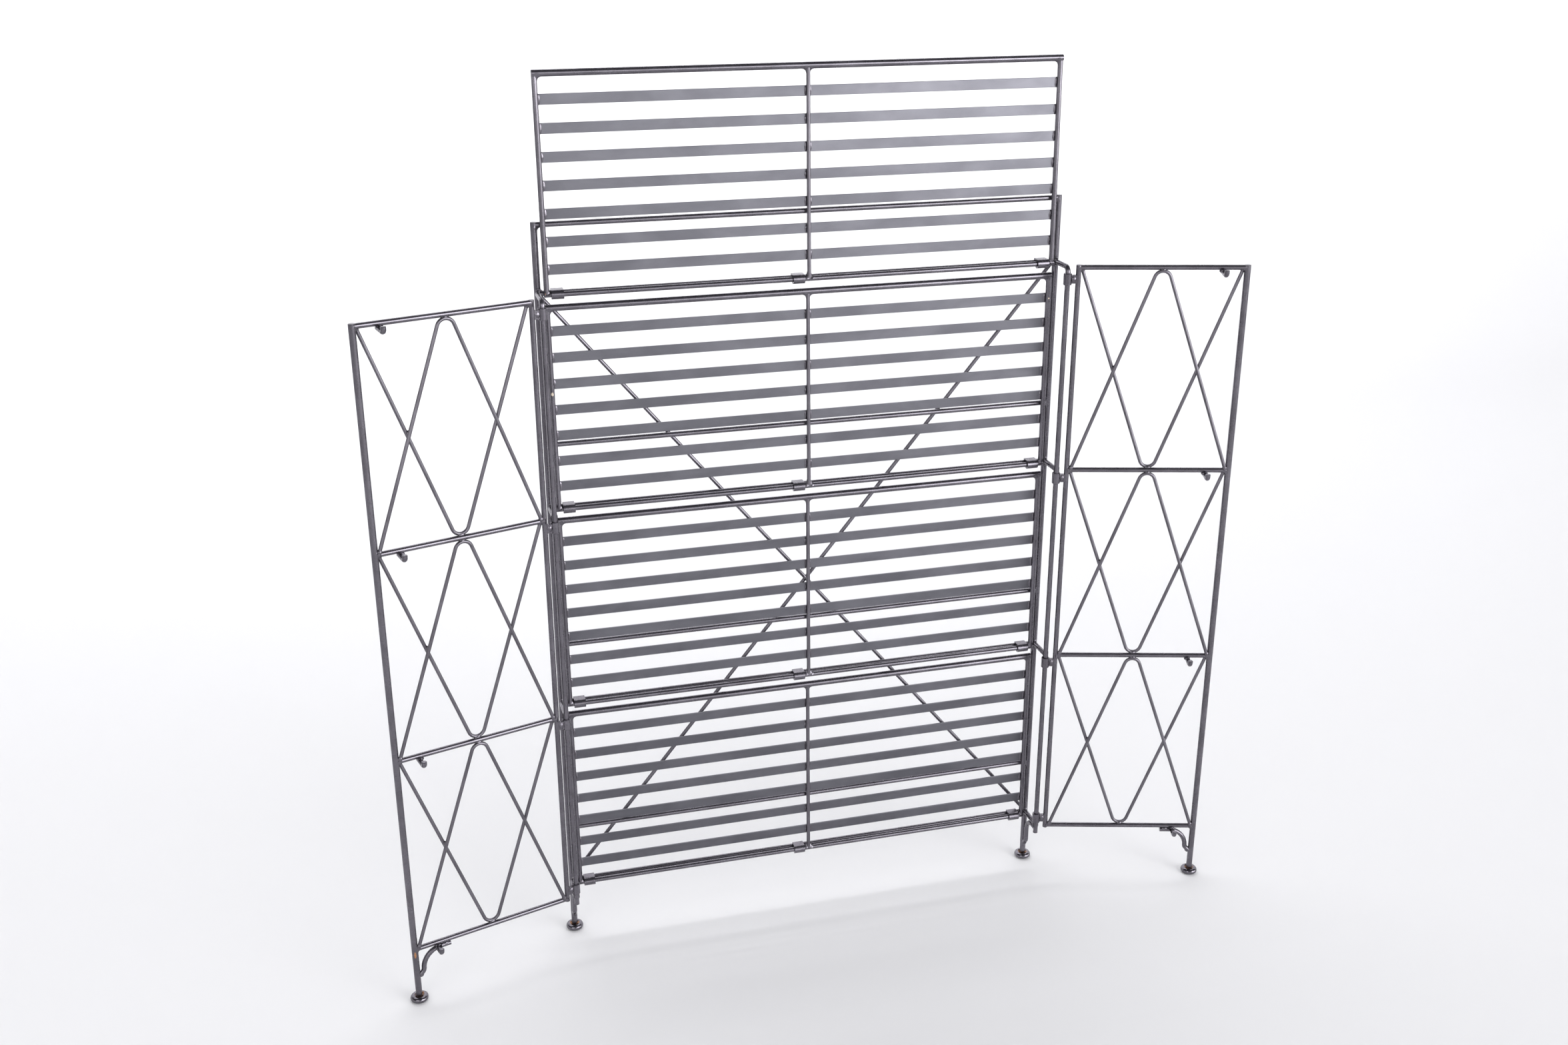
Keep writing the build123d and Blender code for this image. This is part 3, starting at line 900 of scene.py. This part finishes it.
def fitting_joints(side):
    """Braze between hinge collars and inner post, at the roots of the hooks and round the knee bracket."""
    place = SideFrame(side)
    parts = Braze(7)
    collars = f"{side}_hinge_collars"
    low, high = place.span(collars)
    web_middle = (place.inner + 2 * high - low - 3 * ROD) / 4
    for height in members(collars, UP):
        parts.add_lump(place.at(web_middle, 0, height), place.along * 1.15 * ROD, place.back * 1.12 * ROD,
                       UP * 1.75 * ROD)
    low, high = place.span(f"{side}_shelf_hooks")
    for level in LEVELS:
        root = place.at((low + high) / 2, -0.2 * ROD, level - 1.35 * ROD)
        parts.add_lump(root, place.along * 1.35 * ROD, place.back * 0.95 * ROD, UP * 0.85 * ROD)
    bracket = f"{side}_knee_bracket"
    low, high = place.span(bracket)
    bottom = corners(bracket)[0][2]
    parts.add_lump(place.at(high - 0.8 * ROD, 0, bottom + 1.2 * ROD), place.along * 1.2 * ROD,
                   place.back * 0.95 * ROD, UP * 1.3 * ROD)
    parts.add_lump(place.at(low + 1.9 * ROD, 0, LEVELS[0] - 1.6 * ROD), place.along * 1.7 * ROD,
                   place.back * 1.02 * ROD, UP * 0.8 * ROD)
    return parts


def rear_knee_joints():
    """Braze at both ends of the two rear knee brackets."""
    parts = Braze()
    for sign, side in zip((-1, 1), SIDES):
        low, high = corners(f"{side}_rear_knee_bracket")
        for y, z in ((high[1] - 0.8 * ROD, low[2] + 1.2 * ROD), (low[1] + 0.9 * ROD, high[2] - 0.8 * ROD)):
            parts.add_lump(np.array([sign * POST_X, y, z]), TO_THE_RIGHT * 0.95 * ROD, TO_THE_BACK * 1.2 * ROD,
                           UP * 1.25 * ROD)
    return parts


def shelf_joints(name):
    """Braze of a shelf's corners, centre rod and slats."""
    joints = settings().joints
    corner, light = joints.corner_reach, joints.light_reach
    shelf = Shelf(name)
    parts = Braze(5)
    for sign in (-1, 1):
        inwards = -sign * TO_THE_RIGHT
        x = sign * shelf.half_width
        parts.add_fillet(shelf.at(x, 0, shelf.depth), -shelf.up, inwards, ROD, FRONT_ROD, (corner, 0))
        parts.add_fillet(shelf.at(x, 0, 0), shelf.up, inwards, ROD, ROD, (light, 0))
        for height in shelf.slats:
            end = shelf.at(x + inwards[0] * 1.1 * ROD, shelf.slat_face - 0.1 * ROD, height)
            parts.add_lump(end, TO_THE_RIGHT * 0.7 * ROD, shelf.front * 0.3 * ROD, shelf.up * 1.95 * ROD)
    for height, run, radius in ((shelf.depth, -shelf.up, FRONT_ROD), (0, shelf.up, ROD)):
        parts.add_fillet(shelf.at(0, 0, height), run, TO_THE_RIGHT, CENTRE_ROD, radius, (corner, corner))
    for number, height in enumerate(shelf.slats):
        both_sides = number % 2 == 0
        for sign in ((-1, 1) if both_sides else (-1,)):
            parts.add_lump(shelf.at(sign * 1.15 * CENTRE_ROD, shelf.slat_face, height),
                           TO_THE_RIGHT * 0.75 * CENTRE_ROD, shelf.front * 0.28 * CENTRE_ROD,
                           shelf.up * (2.3 if both_sides else 1.3) * CENTRE_ROD)
    return parts


# ---- Operators ----

class ETAGERE_OT_finish_iron(bpy.types.Operator):
    """Give every bar, slat and fitting of the frame its finish"""

    bl_idname = "etagere.finish_iron"
    bl_label = "Finish the iron"

    def execute(self, context):
        finishes = {part["node"]: finish_for(part["material_slot"]) for part in frame["record"]["subparts"]}
        finishes["left_front_post"] = left_front_post_finish()
        finishes["shelf_3_side_rods"] = chipped_rods_finish()
        for node, finish in finishes.items():
            mesh = frame["nodes"][node].data
            mesh.materials.clear()
            mesh.materials.append(finish)
        return {"FINISHED"}


class ETAGERE_OT_braze_back_frame(bpy.types.Operator):
    """Add the braze of the back frame, its braces and the shelf knuckles"""

    bl_idname = "etagere.braze_back_frame"
    bl_label = "Braze the back frame"

    def execute(self, context):
        braze = finish_for("braze")
        new_piece("back_frame_braze", back_frame_joints(), "back_frame", braze)
        new_piece("cross_brace_braze", brace_joints(), "back_frame", braze)
        new_piece("rear_knee_braze", rear_knee_joints(), "back_frame", braze)
        for number in range(1, len(LEVELS) + 1):
            new_piece(f"knuckle_braze_{number}", knuckle_joints(number), "back_frame", braze)
        return {"FINISHED"}


class ETAGERE_OT_braze_side_frames(bpy.types.Operator):
    """Add the braze of the two side frames"""

    bl_idname = "etagere.braze_side_frames"
    bl_label = "Braze the side frames"

    def execute(self, context):
        braze = finish_for("braze")
        for side in SIDES:
            body = f"{side}_side"
            new_piece(f"{side}_side_braze", side_frame_joints(side), body, braze)
            new_piece(f"{side}_wire_braze", wire_joints(side), body, braze)
            new_piece(f"{side}_fitting_braze", fitting_joints(side), body, braze)
        return {"FINISHED"}


class ETAGERE_OT_turn_feet(bpy.types.Operator):
    """Turn the four bun feet, with their hammer marks and hollow tops"""

    bl_idname = "etagere.turn_feet"
    bl_label = "Turn the feet"

    def execute(self, context):
        for side in SIDES:
            for end, body in (("rear", "back_frame"), ("front", f"{side}_side")):
                node = f"{side}_{end}_foot"
                piece = new_piece(f"{node}_turned", [bun_foot(node)], body, finish_for("feet"))
                add_hollow(piece, node)
                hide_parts(node)
        return {"FINISHED"}


class ETAGERE_OT_braze_shelves(bpy.types.Operator):
    """Add the braze of the four shelves"""

    bl_idname = "etagere.braze_shelves"
    bl_label = "Braze the shelves"

    def execute(self, context):
        for shelf in SHELVES:
            new_piece(f"{shelf}_braze", shelf_joints(shelf), shelf, finish_for("braze"))
        return {"FINISHED"}


def new_area_light(name, power, place, target, size):
    """A rectangular light that points at a target."""
    light = bpy.data.lights.new(name, "AREA")
    light.energy = power
    light.shape = "RECTANGLE"
    light.size, light.size_y = size
    holder = bpy.data.objects.new(name, light)
    bpy.context.scene.collection.objects.link(holder)
    direction = np.array(target) - np.array(place)
    turn = Vector(direction).to_track_quat("-Z", "Y").to_matrix().to_4x4()
    holder.matrix_world = Matrix.Translation(place) @ turn


def plain_material(name, colour, roughness):
    material = bpy.data.materials.new(name)
    material.use_nodes = True
    shader = next(n for n in material.node_tree.nodes if n.type == "BSDF_PRINCIPLED")
    shader.inputs["Base Color"].default_value = (*colour, 1)
    shader.inputs["Roughness"].default_value = roughness
    return material


def sweep_mesh(width, near, far, bend, height, steps=24):
    """A floor that turns up into a wall: straight, a quarter circle, straight, carried across."""
    turn = np.linspace(0, math.pi / 2, steps)
    y = np.concatenate([[-near], far - bend + bend * np.sin(turn), [far]])
    z = np.concatenate([[0], bend * (1 - np.cos(turn)), [height]])
    rows = np.stack([np.zeros_like(y), y, z], -1)
    points = np.concatenate([rows - [width, 0, 0], rows + [width, 0, 0]])
    first = np.arange(len(y) - 1)
    faces = np.stack([first, first + len(y), first + len(y) + 1, first + 1], -1)
    mesh = bpy.data.meshes.new("sweep")
    mesh.from_pydata(points.tolist(), [], faces.tolist())
    mesh.polygons.foreach_set("use_smooth", np.ones(len(faces), bool))
    return mesh


class ETAGERE_OT_build_stage(bpy.types.Operator):
    """Set up the pale sweep, the soft lights and the camera"""

    bl_idname = "etagere.build_stage"
    bl_label = "Build the stage"

    def execute(self, context):
        studio = settings().studio
        mesh = sweep_mesh(SWEEP_HALF_WIDTH, SWEEP_FRONT, studio.sweep_distance, studio.sweep_bend, SWEEP_HEIGHT)
        sweep = bpy.data.objects.new("sweep", mesh)
        sweep.data.materials.append(plain_material("pale_floor", studio.floor_shade, 0.7))
        context.scene.collection.objects.link(sweep)
        for sign, side in zip((-1, 1), SIDES):
            power = studio.key_power * (1 + sign * studio.key_balance)
            new_area_light(f"front_light_{side}", power, (sign * KEY_X, KEY_Y, KEY_Z), KEY_TARGET, KEY_SIZE)
        new_area_light("wall_light", studio.wall_power, WALL_LIGHT, WALL_TARGET, WALL_LIGHT_SIZE)
        self.light_floor(context, studio)
        self.light_room(context, studio)
        self.place_camera(context, studio)
        context.scene.view_settings.view_transform = "Standard"
        return {"FINISHED"}

    def light_floor(self, context, studio):
        """A wide light straight above that doesn't show in the iron."""
        light = bpy.data.lights.new("overhead_light", "SUN")
        light.energy = studio.overhead_strength
        light.angle = OVERHEAD_SPREAD
        holder = bpy.data.objects.new("overhead_light", light)
        holder.visible_glossy = False
        context.scene.collection.objects.link(holder)

    def light_room(self, context, studio):
        """A white room with a darker ceiling, brighter in front towards the right."""
        world = bpy.data.worlds.new("white_room")
        world.use_nodes = True
        tree = world.node_tree
        background = next(n for n in tree.nodes if n.type == "BACKGROUND")
        place = tree.nodes.new("ShaderNodeTexCoord").outputs["Generated"]
        parts = tree.nodes.new("ShaderNodeSeparateXYZ")
        tree.links.new(place, parts.inputs["Vector"])
        ramp = tree.nodes.new("ShaderNodeValToRGB")
        tree.links.new(maths(tree, "MULTIPLY_ADD", parts.outputs["Z"], 0.5, 0.5), ramp.inputs["Fac"])
        stops = ramp.color_ramp.elements
        stops[0].position, stops[0].color = ROOM_WHITE, (1, 1, 1, 1)
        stops[1].position, stops[1].color = ROOM_DARK, CEILING
        tree.links.new(ramp.outputs["Color"], background.inputs["Color"])
        across = maths(tree, "SUBTRACT", parts.outputs["X"], parts.outputs["Y"])
        towards = maths(tree, "MULTIPLY", across, 0.7)
        in_front = remap(tree, towards, FRONT_EDGE, 1.0)
        gain = maths(tree, "MULTIPLY_ADD", in_front, studio.sky_strength * studio.front_gain,
                     studio.sky_strength)
        tree.links.new(gain, background.inputs["Strength"])
        context.scene.world = world

    def place_camera(self, context, studio):
        """The camera at its place, headed and tilted as set."""
        camera = bpy.data.cameras.new("camera")
        camera.lens = studio.lens
        camera.sensor_width = 36.0
        holder = bpy.data.objects.new("camera", camera)
        context.scene.collection.objects.link(holder)
        turn = (Matrix.Rotation(-studio.heading, 4, "Z") @ Matrix.Rotation(math.pi / 2 + studio.tilt, 4, "X")
                @ Matrix.Rotation(studio.roll, 4, "Z"))
        holder.matrix_world = Matrix.Translation(studio.camera_place) @ turn
        context.scene.camera = holder


OPERATORS = (ETAGERE_OT_finish_iron, ETAGERE_OT_braze_back_frame, ETAGERE_OT_braze_side_frames,
             ETAGERE_OT_braze_shelves, ETAGERE_OT_turn_feet, ETAGERE_OT_build_stage)


class ETAGERE_PT_panel(bpy.types.Panel):
    """The steps that dress the etagere"""

    bl_label = "Etagere"
    bl_idname = "ETAGERE_PT_panel"
    bl_space_type = "VIEW_3D"
    bl_region_type = "UI"
    bl_category = "Etagere"

    def draw(self, context):
        for operator in OPERATORS:
            self.layout.operator(operator.bl_idname)


CLASSES = (JointSizes, WireShape, FootSizes, IronFinish, StudioSettings, EtagereSettings, *OPERATORS,
           ETAGERE_PT_panel)


def register():
    for cls in CLASSES:
        bpy.utils.register_class(cls)
    bpy.types.Scene.etagere = PointerProperty(type=EtagereSettings)


def unregister():
    del bpy.types.Scene.etagere
    for cls in reversed(CLASSES):
        bpy.utils.unregister_class(cls)


def main():
    register()
    for operator in OPERATORS:
        group, name = operator.bl_idname.split(".")
        getattr(getattr(bpy.ops, group), name)()


if __name__ == "__main__":
    main()
